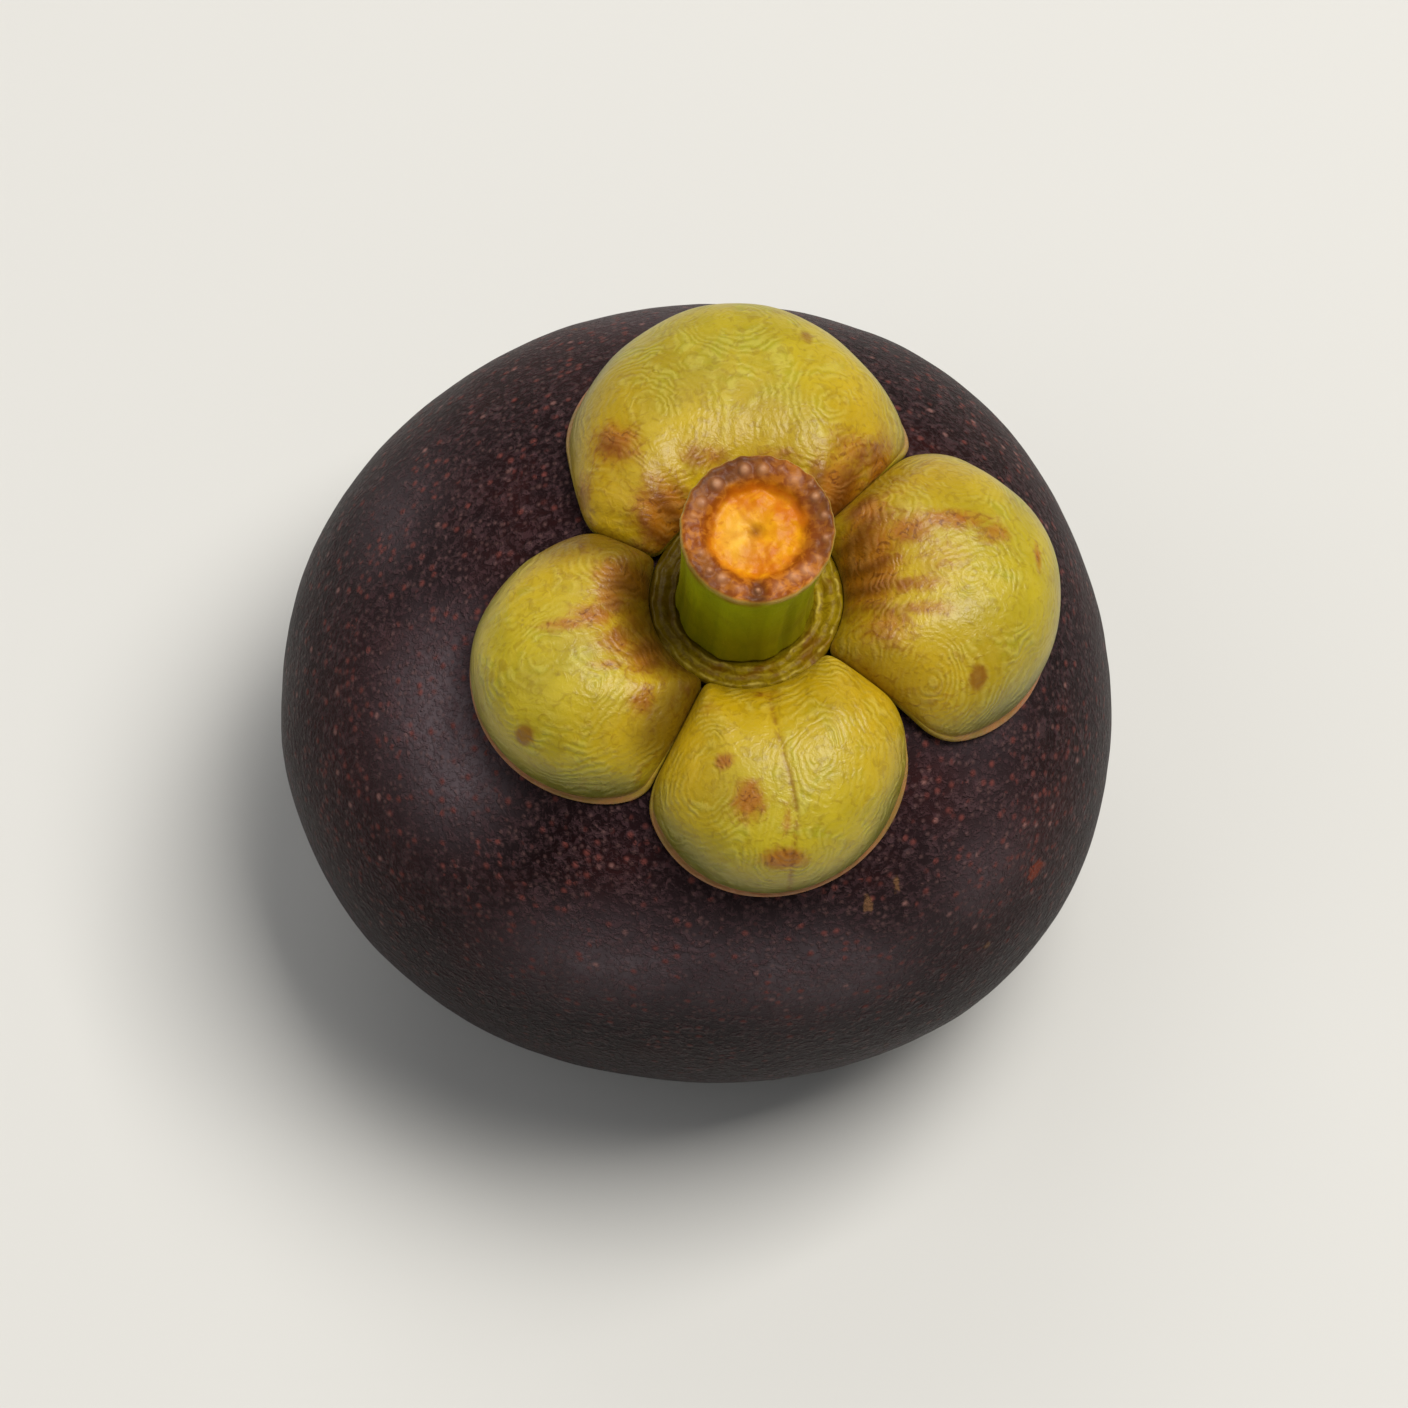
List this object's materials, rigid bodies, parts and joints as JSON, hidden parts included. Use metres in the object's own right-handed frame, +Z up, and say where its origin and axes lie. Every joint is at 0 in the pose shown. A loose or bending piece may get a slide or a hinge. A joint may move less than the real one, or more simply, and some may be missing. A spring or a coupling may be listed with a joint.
{
  "type": "mangosteen",
  "caption": "Whole ripe mangosteen with a dark purple rind, a yellow-green calyx of domed fleshy lobes, a short cut green stem and a woody stigma rosette underneath.",
  "frame": {"origin": "centre of the fruit's outline from above, at the height of the surface it rests on", "axes": "+Z up towards the stem, -Y towards the viewer, +X to the viewer's right"},
  "size_m": [0.0616, 0.0582, 0.0646],
  "materials": {
    "rind_skin": "satin, finely pitted, with short tan and dark red specks",
    "rosette_wood": "dull, dry and woody",
    "receptacle_skin": "satin, with brown edges on its lips",
    "stem_skin": "satin green, with a brown bark ring and an orange pith at the cut",
    "calyx_skin": "satin, finely wrinkled, with reddish brown blotches"
  },
  "bodies": {
    "root": {"rind": "rind_skin", "stigma_rosette": "rosette_wood", "receptacle": "receptacle_skin", "stem": "stem_skin", "sepal_right": "calyx_skin", "sepal_back": "calyx_skin", "sepal_left": "calyx_skin", "sepal_front": "calyx_skin"}
  },
  "joints": []
}
